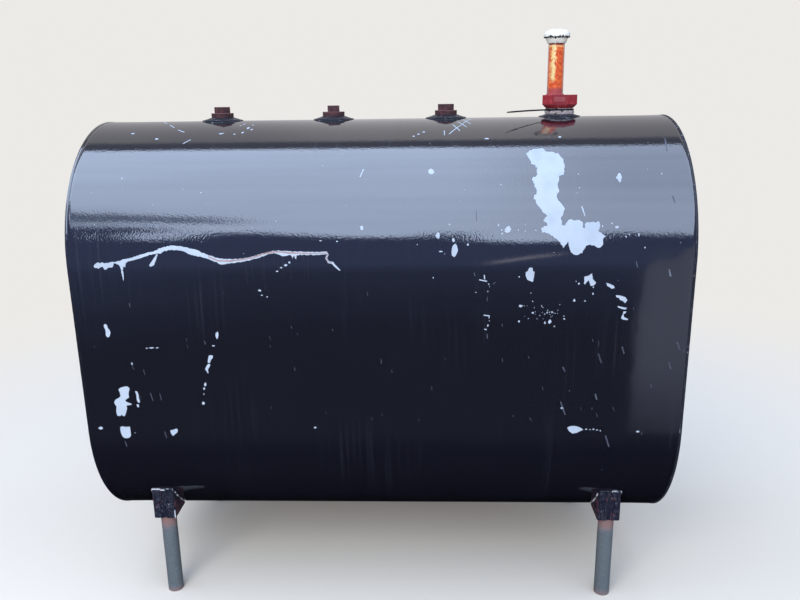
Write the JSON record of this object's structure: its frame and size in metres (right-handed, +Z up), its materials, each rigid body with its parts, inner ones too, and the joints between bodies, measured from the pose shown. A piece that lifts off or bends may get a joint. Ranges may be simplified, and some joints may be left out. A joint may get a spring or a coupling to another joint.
{
  "type": "heating oil storage tank",
  "caption": "Upright oblong sheet-steel storage tank with pressed ends, a row of threaded top flanges with plugs, a float gauge and short pipe legs in welded brackets.",
  "frame": {"origin": "floor level, under the middle of the tank", "axes": "+Z up, +X along the length of the tank towards the gauge, -Y out of the front side"},
  "size_m": [1.524, 0.6884, 1.5303],
  "materials": {
    "enamel": "black gloss enamel, scuffed down to a pale grey primer in places",
    "bracket_paint": "black enamel, worn and rusting on the inner cheeks",
    "plug_iron": "rough brown rust",
    "gauge_red": "moulded, faded at the edges",
    "vial": "clear tube stained orange by old oil",
    "cap_white": "white moulding",
    "sealant": "lumpy dried jointing compound",
    "tie_black": "moulded nylon",
    "leg_pipe": "weathered galvanised pipe, rusty at the cut end"
  },
  "bodies": {
    "root": {"shell": "enamel", "head_left": "enamel", "head_right": "enamel", "rim_weld_left": "enamel", "rim_weld_right": "enamel", "seam_weld": "enamel", "spud_1": "enamel", "spud_2": "enamel", "spud_3": "enamel", "spud_4": "enamel", "outlet_spud": "enamel", "plug_1": "plug_iron", "plug_2": "plug_iron", "plug_3": "plug_iron", "outlet_plug": "plug_iron", "gauge_body": "gauge_red", "gauge_seal": "sealant", "gauge_vial": "vial", "gauge_disc": "gauge_red", "gauge_collar": "cap_white", "gauge_lid": "cap_white", "cable_tie": "tie_black", "bracket_front_left": "bracket_paint", "bracket_front_right": "bracket_paint", "bracket_rear_left": "bracket_paint", "bracket_rear_right": "bracket_paint", "leg_front_left": "leg_pipe", "leg_front_right": "leg_pipe", "leg_rear_left": "leg_pipe", "leg_rear_right": "leg_pipe"}
  },
  "joints": []
}
